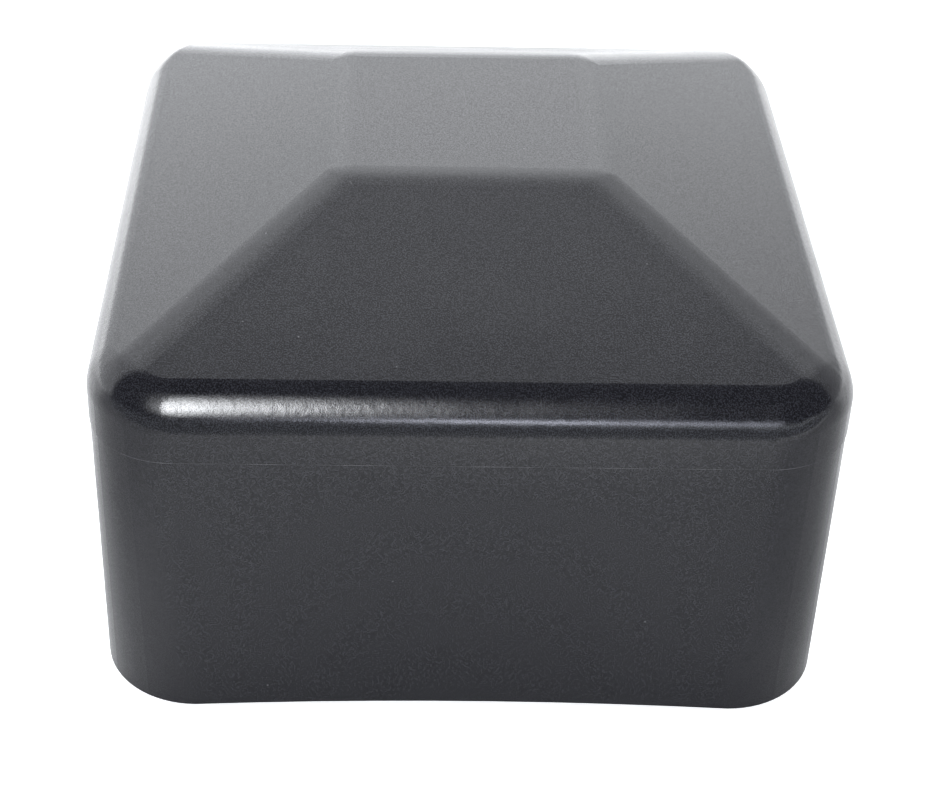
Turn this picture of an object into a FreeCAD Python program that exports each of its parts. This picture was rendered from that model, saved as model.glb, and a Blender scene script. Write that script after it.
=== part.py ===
"""External end cap for a square tube: one hollow moulding, open below, with a low hipped roof.

The cap slips over the outside of the tube. Its skirt hugs the tube: each side of it is drawn in at the
open rim, and springs outwards when the cap is pushed on. Above the parting line, the crown has a short
upright band, a rolled edge, four sloping facets with softened hips and a small flat on top. Eight short
ribs under the roof stop the tube's end. Millimetres, +Z up, origin at the middle of the open rim.
"""

import FreeCAD, Part
import math
import os

V = FreeCAD.Vector

# The tube that the cap is made for, and the room between the two before the sides grip it
tube_width = 60.0
tube_corner_radius = 5.4
tube_clearance = 0.1

# The wall, which grows thinner towards the rim so that the moulding leaves its core
wall = 1.9
core_draft = 0.2

# The skirt's height up to the parting line, how much wider and rounder it is at the rim than there,
# how far each side is drawn in at the middle of the rim, and the chamfer inside its mouth
skirt_height = 27.1
skirt_draft = 0.2
rim_corner_growth = 1.1
rim_bow = 0.67
lead_in = 0.4
lead_in_height = 1.0

# The crown, which stands a hair proud of the skirt at the parting line
parting_step = 0.08
band_height = 2.95
roll_radius = 4.3
facet_slope = 25.5
flat_width = 22.8
crease_radius = 5.5

# Stop ribs, thinner at the tip than at the wall, and how far above the parting line they end
ribs_per_side = 2
rib_spacing = 24.0
rib_reach = 3.4
rib_root = 1.4
rib_tip = 1.0
stop_lift = 2.0

# Sizes worked out from those above
skirt_half = tube_width / 2 + tube_clearance + wall
skirt_corner = tube_corner_radius + tube_clearance + wall
crown_half = skirt_half + parting_step
crown_corner = skirt_corner + parting_step
slope = math.radians(facet_slope)
roll_start = skirt_height + band_height
roll_tangent = math.tan((math.pi / 2 - slope) / 2)
eaves_height = roll_start + roll_radius * roll_tangent
roof_height = eaves_height + (crown_half - flat_width / 2) * math.tan(slope)
stop_height = skirt_height + stop_lift


def side_and_corner(half, corner, bow, z, turn):
    """One side, drawn in by bow at its middle, and the quarter round after it in thirds, turned about Z."""
    k = half - corner
    enter = V(-k, -half, z)
    leave = V(k, -half, z)
    side = Part.makeLine(enter, leave)
    if bow > 0:
        side = Part.Arc(enter, V(0, bow - half, z), leave).toShape()
    thirds = [Part.makeCircle(corner, V(k, -k, z), V(0, 0, 1), start, start + 30) for start in (270, 300, 330)]
    edges = [side] + thirds
    for edge in edges:
        edge.rotate(V(0, 0, 0), V(0, 0, 1), turn)
    return edges


def rounded_square(half, corner, z, bow=0.0):
    """Closed outline at height z, with round corners and each side drawn in by bow at its middle."""
    edges = []
    for turn in (0, 90, 180, 270):
        edges += side_and_corner(half, corner, bow, z, turn)
    return Part.Wire(edges)


def skirt_outline(thickness, z):
    """The skirt's outline at height z, moved inwards by thickness."""
    drawn = 1 - z / skirt_height
    half = skirt_half + skirt_draft * drawn - thickness
    corner = skirt_corner + rim_corner_growth * drawn - thickness
    return rounded_square(half, corner, z, rim_bow * drawn)


def wall_at(z):
    """The skirt's thickness at height z."""
    return wall - core_draft * (1 - z / skirt_height)


def make_skirt():
    """The wall that surrounds the tube, from the rim up to the parting line, with a lead-in at its mouth."""
    outside = Part.makeLoft([skirt_outline(0, 0), skirt_outline(0, skirt_height)], True, True)
    bore = [skirt_outline(wall_at(0) - lead_in, 0)]
    bore.append(skirt_outline(wall_at(lead_in_height), lead_in_height))
    bore.append(skirt_outline(wall, skirt_height))
    return outside.cut(Part.makeLoft(bore, True, True))


def square_corners(half, z):
    """The corners of a plain square at height z."""
    return [V(x * half, y * half, z) for x, y in ((1, 1), (-1, 1), (-1, -1), (1, -1))]


def hipped_block(half, eaves, flat_half, top):
    """A square block from the parting line to the eaves, under four facets that rise to a flat."""
    levels = [square_corners(half, skirt_height), square_corners(half, eaves), square_corners(flat_half, top)]
    outlines = [levels[0][::-1], levels[-1]]
    for lower, upper in zip(levels, levels[1:]):
        for this, after in ((0, 1), (1, 2), (2, 3), (3, 0)):
            outlines.append([lower[this], lower[after], upper[after], upper[this]])
    faces = [Part.Face(Part.makePolygon(outline + outline[:1])) for outline in outlines]
    return Part.makeSolid(Part.makeShell(faces))


def middle_of(edge):
    """The point halfway along an edge."""
    return edge.valueAt((edge.FirstParameter + edge.LastParameter) / 2)


def is_crease(edge, eaves, top):
    """A hip between two facets, or an edge of the flat on top."""
    heights = [vertex.Point.z for vertex in edge.Vertexes]
    return max(heights) > top - 0.01 and min(heights) > eaves - 0.01


def is_eaves(edge, half, corner, base):
    """An edge of the loop where the facets meet the upright sides."""
    if edge.Degenerated:
        return False
    middle = middle_of(edge)
    heights = [vertex.Point.z for vertex in edge.Vertexes]
    if min(heights) < base + 0.01:
        return False
    x, y = abs(middle.x), abs(middle.y)
    k = half - corner
    if min(x, y) < k:
        return abs(max(x, y) - half) < 0.01
    return abs(math.hypot(x - k, y - k) - corner) < 0.01


def crown_form(depth):
    """The crown as a solid that stands on the parting line, its whole skin moved inwards by depth."""
    half = crown_half - depth
    corner = crown_corner - depth
    eaves = eaves_height - depth * roll_tangent
    top = roof_height - depth
    flat_half = flat_width / 2 - depth * math.tan(slope / 2)
    roof = hipped_block(half, eaves, flat_half, top)
    roof = roof.makeFillet(crease_radius - depth, [e for e in roof.Edges if is_crease(e, eaves, top)])
    column = Part.Face(rounded_square(half, corner, skirt_height)).extrude(V(0, 0, top - skirt_height))
    form = roof.common(column)
    loop = [e for e in form.Edges if is_eaves(e, half, corner, skirt_height)]
    return form.makeFillet(roll_radius - depth, loop)


def stop_rib(offset, turn):
    """One rib, from inside the wall to its tip and from the stop's level to above the roof."""
    tip = skirt_half - wall - rib_reach
    root = skirt_half - wall / 2
    corners = ((-rib_root, root), (rib_root, root), (rib_tip, tip), (-rib_tip, tip), (-rib_root, root))
    plan = Part.makePolygon([V(offset + x / 2, -y, stop_height) for x, y in corners])
    rib = Part.Face(plan).extrude(V(0, 0, roof_height - stop_height))
    rib.rotate(V(0, 0, 0), V(0, 0, 1), turn)
    return rib


def make_crown():
    """The closed top, hollow below, with the ribs left standing in the hollow."""
    hollow = crown_form(wall + parting_step)
    for turn in (0, 90, 180, 270):
        for number in range(ribs_per_side):
            offset = (number - (ribs_per_side - 1) / 2) * rib_spacing
            hollow = hollow.cut(stop_rib(offset, turn))
    return crown_form(0).cut(hollow)


end_cap = make_skirt().fuse(make_crown())
os.makedirs("parts", exist_ok=True)
end_cap.exportStep("parts/end_cap.step")
print("end_cap", end_cap.isValid(), round(end_cap.Volume), "cubic millimetres", "height", roof_height)
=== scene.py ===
"""Studio picture of the square tube's end cap: black moulded plastic on white paper, in a light tent."""

import math

import bpy
from mathutils import Matrix, Vector

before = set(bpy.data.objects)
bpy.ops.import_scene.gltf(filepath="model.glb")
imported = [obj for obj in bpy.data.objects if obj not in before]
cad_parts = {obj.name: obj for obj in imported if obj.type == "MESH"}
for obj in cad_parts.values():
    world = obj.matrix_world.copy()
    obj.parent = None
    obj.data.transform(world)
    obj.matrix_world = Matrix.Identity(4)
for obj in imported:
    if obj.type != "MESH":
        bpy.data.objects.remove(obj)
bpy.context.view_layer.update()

MM = 0.001

# The camera, at the photograph's viewing angle
IMAGE_WIDTH = 930
FOCAL_PIXELS = 2092.0
SENSOR_WIDTH = 36.0
CAMERA_TARGET = Vector((-3.19, 0.0, 17.24)) * MM
CAMERA_DISTANCE = 202.9 * MM
CAMERA_ELEVATION = math.radians(34.93)
CAMERA_YAW = math.radians(-1.33)
CAMERA_ROLL = math.radians(1.45)
NEAREST_SEEN = 10 * MM
FARTHEST_SEEN = 20.0

# How far the photograph's crop lies off the lens axis, in pixels to the right and down
CROP_RIGHT = 38
CROP_DOWN = 60

# The grain of the plastic, in its colour, its gloss and its surface
GRAIN_SIZE = 0.12 * MM
GRAIN_DEPTH = 0.004 * MM
DARK_GRAIN = (0.004, 0.004, 0.0063, 1)
PALE_GRAIN = (0.0235, 0.024, 0.0305, 1)
COAT_ON_GRAIN = (0.06, 0.42)
COAT_ROUGHNESS = 0.17
PLASTIC_IOR = 1.5

# Clouds of rougher and smoother plastic
CLOUD_SIZE = 5 * MM
ROUGHNESS_IN_CLOUDS = (0.14, 0.2)

# The parting line, where the crown ends and the skirt begins, and the painted highlight along the flash
# there
PARTING_HEIGHT = 27.1 * MM
FLASH_BELOW = (PARTING_HEIGHT - 0.09 * MM, PARTING_HEIGHT - 0.03 * MM)
FLASH_ABOVE = (PARTING_HEIGHT, PARTING_HEIGHT + 0.05 * MM)
FLASH_BREAK_SIZE = 4 * MM
LEAST_FLASH = 0.1

# Dust, as specks round the middles of cells of this size
DUST_SPACING = 3.2 * MM
SPECK_RADIUS = (0.015, 0.03)
# The colour of the painted highlight along the flash, and of the real dust
GLINT_AND_DUST_COLOUR = (0.16, 0.16, 0.17, 1)

# Waves of the mould's polish, between heights where they grow and fade, and their share elsewhere
WAVE_SIZE = 0.7 * MM
WAVE_DEPTH = 0.013 * MM
WAVES_GROW = (27.5 * MM, 30 * MM)
WAVES_FADE = (32.5 * MM, 34.5 * MM)
WAVES_ELSEWHERE = 0.15

# The paper, with painted shade in front of the cap's corners that only the gloss sees
PAPER_SIZE = 8.0
PAPER_COLOUR = (0.8, 0.8, 0.8, 1)
PAPER_SHADE_BY_CORNERS = (0.48, 0.48, 0.48, 1)
PAPER_ROUGHNESS = 0.9
PAPER_LIGHT_COLOUR = (0.97, 0.98, 1.0, 1)
PAPER_LIGHT_FOR_CAMERA = 0.75

# Where the painted light on the paper that only the gloss sees changes, and how bright it is there
BEHIND_CAP = (20 * MM, 265 * MM)
LIGHT_BEHIND_CAP = (0.11, 1.2)
CAP_MIDDLE = -8 * MM
BESIDE_CAP = (22 * MM, 55 * MM)
LIGHT_BESIDE_CAP = 0.6
FRONT_TO_BACK = (-30 * MM, 30 * MM)
LEFT_TO_RIGHT = (-100 * MM, 80 * MM)
SHARE_ON_RIGHT = 0.65

# The dark card in front, a painted reflection that only the gloss sees: its near edge from the middle of
# the cap, and its painted glow
CARD_DISTANCE = 84 * MM
CARD_HEIGHT = 0.5 * MM
CARD_LIGHT = 0.42
CARD_LIGHT_COLOUR = (0.9, 0.95, 1.0, 1)
FAR_END_OF_CARD = (-600 * MM, -150 * MM)
LIGHT_AT_FAR_END = 1.3
RIGHT_OF_CARD = (0.0, 30 * MM)

# The strip of paper between the card and the cap, with painted light that the gloss sees
BY_CARD = (-CARD_DISTANCE, -62 * MM)
LIGHT_BY_CARD = 0.85
RIGHT_OF_STRIP = (-40 * MM, 10 * MM)

# The tent's cloth, by the parts of a direction that point right, back and up
CLOTH_LIGHT = 0.96
CLOTH_CHANGE_TO_RIGHT = -0.45
GLOW_MIDDLE = 0.02
GLOW_SIDES = (0.18, 0.68)
GLOW_LIGHT = 1.33
GLOW_TOP = (0.75, 1.0)
GLOW_SHARE_AT_TOP = 0.25
FRONT_EDGE_SLOPE = 0.23
FRONT_EDGE = (0.0, 0.07)
LEAST_LIGHT = 0.12
CLOTH_COLOUR = (0.95, 0.97, 1.0, 1)
STRIP_COLOUR = (0.85, 0.88, 1.03, 1)
BACKDROP_FOR_CAMERA = 1.06

# The tent's windows, each side as two angles in degrees between which its light fades
LONG_WINDOW = {"left": (-15.5, -8), "right": (-5.2, -2.9), "low": (2, 28), "high": (22, 58), "light": 32.5}
GLOW_BY_WINDOW = {"left": (-36, -19), "right": (-18, -11), "low": (2, 28), "high": (22, 58), "light": 2.6}
WIDE_STRIP = {"left": (0, 2), "right": (16, 19), "low": (-6, -2), "high": (4, 12), "light": 3.4}
NARROW_STRIP = {"left": (-1, 2), "right": (3, 7), "low": (-1, 2), "high": (3, 8), "light": 20.0}


def make_camera():
    """The camera looks at its target from in front and above, turned a little about its own axis."""
    back = Vector((
        math.sin(CAMERA_YAW) * math.cos(CAMERA_ELEVATION),
        -math.cos(CAMERA_YAW) * math.cos(CAMERA_ELEVATION),
        math.sin(CAMERA_ELEVATION),
    ))
    data = bpy.data.cameras.new("camera")
    data.sensor_width = SENSOR_WIDTH
    data.lens = FOCAL_PIXELS * SENSOR_WIDTH / IMAGE_WIDTH
    data.shift_x = CROP_RIGHT / IMAGE_WIDTH
    data.shift_y = -CROP_DOWN / IMAGE_WIDTH
    data.clip_start = NEAREST_SEEN
    data.clip_end = FARTHEST_SEEN
    camera = bpy.data.objects.new("camera", data)
    bpy.context.scene.collection.objects.link(camera)
    turn = (-back).to_track_quat("-Z", "Y").to_matrix().to_4x4()
    roll = Matrix.Rotation(CAMERA_ROLL, 4, "Z")
    camera.matrix_world = Matrix.Translation(CAMERA_TARGET + back * CAMERA_DISTANCE) @ turn @ roll
    bpy.context.scene.camera = camera


def connect(tree, value, socket):
    """Gives a socket its value, which is a number, a colour or another node's output."""
    if isinstance(value, bpy.types.NodeSocket):
        tree.links.new(value, socket)
    else:
        socket.default_value = value


def calculate(tree, operation, *values):
    """One step of arithmetic on numbers and node outputs."""
    step = tree.nodes.new("ShaderNodeMath")
    step.operation = operation
    for value, socket in zip(values, step.inputs):
        connect(tree, value, socket)
    return step.outputs[0]


def fade(tree, value, start, end, low=0.0, high=1.0):
    """Goes smoothly from low to high while the value goes from start to end."""
    ramp = tree.nodes.new("ShaderNodeMapRange")
    ramp.interpolation_type = "SMOOTHSTEP"
    connect(tree, value, ramp.inputs["Value"])
    ramp.inputs["From Min"].default_value = start
    ramp.inputs["From Max"].default_value = end
    ramp.inputs["To Min"].default_value = low
    ramp.inputs["To Max"].default_value = high
    return ramp.outputs[0]


def blend(tree, share, first, second):
    """A colour between two others."""
    mix = tree.nodes.new("ShaderNodeMix")
    mix.data_type = "RGBA"
    connect(tree, share, mix.inputs["Factor"])
    connect(tree, first, mix.inputs["A"])
    connect(tree, second, mix.inputs["B"])
    return mix.outputs["Result"]


def coordinates(tree, kind):
    """The place of a point on its object, or the direction of a ray in the world."""
    return tree.nodes.new("ShaderNodeTexCoord").outputs[kind]


def split(tree, place):
    """The three parts of a place or a direction: right, back and up."""
    parts = tree.nodes.new("ShaderNodeSeparateXYZ")
    tree.links.new(place, parts.inputs[0])
    return parts.outputs


def noise(tree, place, size, detail=0.0):
    """Even noise whose lumps are about the given size."""
    texture = tree.nodes.new("ShaderNodeTexNoise")
    texture.inputs["Scale"].default_value = 1 / size
    texture.inputs["Detail"].default_value = detail
    tree.links.new(place, texture.inputs["Vector"])
    return texture.outputs["Fac"]


def raise_surface(tree, height, depth, under=None):
    """Bumps as deep as the given depth, on top of the bumps under them."""
    bump = tree.nodes.new("ShaderNodeBump")
    bump.inputs["Distance"].default_value = depth
    tree.links.new(height, bump.inputs["Height"])
    if under:
        tree.links.new(under, bump.inputs["Normal"])
    return bump.outputs["Normal"]


def empty_material(name):
    """A node material that holds only its output."""
    material = bpy.data.materials.new(name)
    material.use_nodes = True
    material.node_tree.nodes.clear()
    material.node_tree.nodes.new("ShaderNodeOutputMaterial")
    return material


def show_shader(tree, shader):
    """Makes a shader the one that its material shows."""
    tree.links.new(shader.outputs[0], tree.nodes["Material Output"].inputs[0])


def flash_glint(tree, place, height):
    """A painted highlight along the flash on the parting line, broken here and there."""
    below = fade(tree, height, *FLASH_BELOW)
    above = fade(tree, height, *FLASH_ABOVE, 1.0, 0.0)
    breaks = fade(tree, noise(tree, place, FLASH_BREAK_SIZE, 3.0), 0.4, 0.62, LEAST_FLASH, 1.0)
    return calculate(tree, "MULTIPLY", calculate(tree, "MULTIPLY", below, above), breaks)


def dust(tree, place):
    """Specks of dust, few and far between."""
    cells = tree.nodes.new("ShaderNodeTexVoronoi")
    cells.inputs["Scale"].default_value = 1 / DUST_SPACING
    tree.links.new(place, cells.inputs["Vector"])
    return fade(tree, cells.outputs["Distance"], *SPECK_RADIUS, 1.0, 0.0)


def roll_waves(tree, place, height):
    """Soft waves of the mould's polish, deepest on the roll round the crown."""
    grow = fade(tree, height, *WAVES_GROW, WAVES_ELSEWHERE, 1.0)
    die_away = fade(tree, height, *WAVES_FADE, 1.0, WAVES_ELSEWHERE)
    waves = calculate(tree, "SUBTRACT", noise(tree, place, WAVE_SIZE, 1.0), 0.5)
    return calculate(tree, "MULTIPLY", waves, calculate(tree, "MULTIPLY", grow, die_away))


def black_plastic():
    """Black moulded plastic, half gloss, with a fine grain in its colour, gloss and surface."""
    material = empty_material("black_plastic")
    tree = material.node_tree
    place = coordinates(tree, "Object")
    height = split(tree, place)["Z"]

    grain = noise(tree, place, GRAIN_SIZE)
    clouds = noise(tree, place, CLOUD_SIZE, 2.0)
    # Paler where the painted highlight runs along the flash, and where dust lies
    glint_and_dust = calculate(tree, "MAXIMUM", flash_glint(tree, place, height), dust(tree, place))
    colour = blend(tree, fade(tree, grain, 0.2, 0.8), DARK_GRAIN, PALE_GRAIN)
    colour = blend(tree, glint_and_dust, colour, GLINT_AND_DUST_COLOUR)
    normal = raise_surface(tree, roll_waves(tree, place, height), WAVE_DEPTH)
    normal = raise_surface(tree, grain, GRAIN_DEPTH, under=normal)

    shader = tree.nodes.new("ShaderNodeBsdfPrincipled")
    tree.links.new(colour, shader.inputs["Base Color"])
    tree.links.new(fade(tree, clouds, 0.3, 0.7, *ROUGHNESS_IN_CLOUDS), shader.inputs["Roughness"])
    shader.inputs["IOR"].default_value = PLASTIC_IOR
    tree.links.new(fade(tree, grain, 0.25, 0.75, *COAT_ON_GRAIN), shader.inputs["Coat Weight"])
    shader.inputs["Coat Roughness"].default_value = COAT_ROUGHNESS
    tree.links.new(normal, shader.inputs["Normal"])
    show_shader(tree, shader)
    return material


def beside_and_corners(tree, x, y):
    """How far a point of the paper lies beside the cap, and how much of that is in front of a corner."""
    from_middle = calculate(tree, "ABSOLUTE", calculate(tree, "SUBTRACT", x, CAP_MIDDLE))
    beside = fade(tree, from_middle, *BESIDE_CAP)
    in_front = fade(tree, y, *FRONT_TO_BACK, 1.0, 0.0)
    return beside, calculate(tree, "MULTIPLY", beside, in_front)


def painted_light_in_gloss(tree, x, y, beside, corners):
    """Painted light on the paper that only the gloss sees: most far behind, some beside the cap and by the
    card.
    """
    behind = fade(tree, y, *BEHIND_CAP, *LIGHT_BEHIND_CAP)
    beside = calculate(tree, "SUBTRACT", beside, corners)
    light = calculate(tree, "ADD", behind, calculate(tree, "MULTIPLY", beside, LIGHT_BESIDE_CAP))
    light = calculate(tree, "MULTIPLY", light, fade(tree, x, *LEFT_TO_RIGHT, 1.0, SHARE_ON_RIGHT))
    by_card = fade(tree, y, *BY_CARD, LIGHT_BY_CARD, 0.0)
    return calculate(tree, "MULTIPLY_ADD", by_card, fade(tree, x, *RIGHT_OF_STRIP), light)


def white_paper():
    """Matt paper that keeps the cap's shadow, white to the camera, with uneven painted light and shade that
    only the gloss sees.
    """
    material = empty_material("white_paper")
    tree = material.node_tree
    place = split(tree, coordinates(tree, "Object"))
    x = place["X"]
    y = place["Y"]
    path = tree.nodes.new("ShaderNodeLightPath").outputs
    in_gloss = calculate(tree, "MAXIMUM", path["Is Glossy Ray"], path["Is Transmission Ray"])

    beside, corners = beside_and_corners(tree, x, y)
    # Painted shade in the paper's reflection, in front of the cap's corners
    colour = blend(tree, calculate(tree, "MULTIPLY", in_gloss, corners), PAPER_COLOUR, PAPER_SHADE_BY_CORNERS)
    # Painted light that only the gloss sees, uneven over the paper
    for_gloss = painted_light_in_gloss(tree, x, y, beside, corners)
    for_camera = calculate(tree, "MULTIPLY", path["Is Camera Ray"], PAPER_LIGHT_FOR_CAMERA)
    light = calculate(tree, "MULTIPLY_ADD", in_gloss, for_gloss, for_camera)

    shader = tree.nodes.new("ShaderNodeBsdfPrincipled")
    tree.links.new(colour, shader.inputs["Base Color"])
    shader.inputs["Roughness"].default_value = PAPER_ROUGHNESS
    shader.inputs["Specular IOR Level"].default_value = 0.0
    shader.inputs["Emission Color"].default_value = PAPER_LIGHT_COLOUR
    tree.links.new(light, shader.inputs["Emission Strength"])
    show_shader(tree, shader)
    return material


def painted_front_reflection():
    """Painted reflection: a dark card that glows, lighter at its far end on the right."""
    material = empty_material("painted_front_reflection")
    tree = material.node_tree
    place = split(tree, coordinates(tree, "Object"))
    far = fade(tree, place["Y"], *FAR_END_OF_CARD, LIGHT_AT_FAR_END, 0.0)
    light = calculate(tree, "MULTIPLY_ADD", far, fade(tree, place["X"], *RIGHT_OF_CARD), CARD_LIGHT)
    shader = tree.nodes.new("ShaderNodeEmission")
    shader.inputs["Color"].default_value = CARD_LIGHT_COLOUR
    tree.links.new(light, shader.inputs["Strength"])
    show_shader(tree, shader)
    return material


def flat_sheet(name, left, right, front, back, height, material):
    """A level sheet that is part of the studio, not of the cap."""
    corners = [(left, front, height), (right, front, height), (right, back, height), (left, back, height)]
    data = bpy.data.meshes.new(name)
    data.from_pydata(corners, [], [(0, 1, 2, 3)])
    data.materials.append(material)
    sheet = bpy.data.objects.new(name, data)
    bpy.context.scene.collection.objects.link(sheet)
    return sheet


def make_floor():
    """White paper under the cap, and in front of it a dark card that only the gloss sees, a painted
    reflection.
    """
    half = PAPER_SIZE / 2
    flat_sheet("paper", -half, half, -half, half, 0.0, white_paper())
    # A painted reflection: the card is seen only in the gloss and casts no shadow
    reflection_card = flat_sheet("reflection_card", -half, half, -half, -CARD_DISTANCE, CARD_HEIGHT, painted_front_reflection())
    reflection_card.visible_camera = False
    reflection_card.visible_diffuse = False
    reflection_card.visible_shadow = False


def cloth_light(tree, x, y, z):
    """The light of the tent's cloth: brightest behind the cap, dimmer overhead, none in the open front."""
    beside_middle = calculate(tree, "ABSOLUTE", calculate(tree, "SUBTRACT", x, GLOW_MIDDLE))
    glow = fade(tree, beside_middle, *GLOW_SIDES, GLOW_LIGHT, 0.0)
    glow = calculate(tree, "MULTIPLY", glow, fade(tree, z, *GLOW_TOP, 1.0, GLOW_SHARE_AT_TOP))
    even = calculate(tree, "MULTIPLY_ADD", x, CLOTH_CHANGE_TO_RIGHT, CLOTH_LIGHT)
    from_the_top = calculate(tree, "SUBTRACT", 1.0, z)
    edge = calculate(tree, "MULTIPLY_ADD", from_the_top, FRONT_EDGE_SLOPE, y)
    return calculate(tree, "MULTIPLY", calculate(tree, "ADD", glow, even), fade(tree, edge, *FRONT_EDGE))


def soft_window(tree, azimuth, elevation, left, right, low, high, light):
    """A lit window in the tent: each side is a pair of angles between which it fades."""
    sides = (
        fade(tree, azimuth, *map(math.radians, left)),
        fade(tree, azimuth, *map(math.radians, right), 1.0, 0.0),
        fade(tree, elevation, *map(math.radians, low)),
        fade(tree, elevation, *map(math.radians, high), 1.0, 0.0),
    )
    for side in sides:
        light = calculate(tree, "MULTIPLY", light, side)
    return light


def show_world(tree, colour, light):
    """Lights the scene with the tent, and gives the camera an even white in its place."""
    path = tree.nodes.new("ShaderNodeLightPath")
    shown = tree.nodes.new("ShaderNodeMix")
    connect(tree, path.outputs["Is Camera Ray"], shown.inputs["Factor"])
    connect(tree, light, shown.inputs["A"])
    connect(tree, BACKDROP_FOR_CAMERA, shown.inputs["B"])
    background = tree.nodes["Background"]
    tree.links.new(colour, background.inputs["Color"])
    tree.links.new(shown.outputs["Result"], background.inputs["Strength"])


def make_light_tent():
    """A cloth tent with an open front, where only a window, a glow beside it and two low strips are lit."""
    world = bpy.data.worlds.new("light_tent")
    bpy.context.scene.world = world
    world.use_nodes = True
    tree = world.node_tree
    x, y, z = split(tree, coordinates(tree, "Generated"))
    azimuth = calculate(tree, "ARCTAN2", x, calculate(tree, "MULTIPLY", y, -1.0))
    elevation = calculate(tree, "ARCSINE", z)

    window = soft_window(tree, azimuth, elevation, **LONG_WINDOW)
    glow = soft_window(tree, azimuth, elevation, **GLOW_BY_WINDOW)
    wide_strip = soft_window(tree, azimuth, elevation, **WIDE_STRIP)
    narrow_strip = soft_window(tree, azimuth, elevation, **NARROW_STRIP)
    strips = calculate(tree, "ADD", wide_strip, narrow_strip)

    light = calculate(tree, "ADD", cloth_light(tree, x, y, z), LEAST_LIGHT)
    for source in (window, glow, strips):
        light = calculate(tree, "ADD", light, source)
    colour = blend(tree, calculate(tree, "DIVIDE", strips, light), CLOTH_COLOUR, STRIP_COLOUR)
    show_world(tree, colour, light)


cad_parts["end_cap"].data.materials[0] = black_plastic()
make_floor()
make_light_tent()
make_camera()

bpy.context.scene.view_settings.view_transform = "Standard"
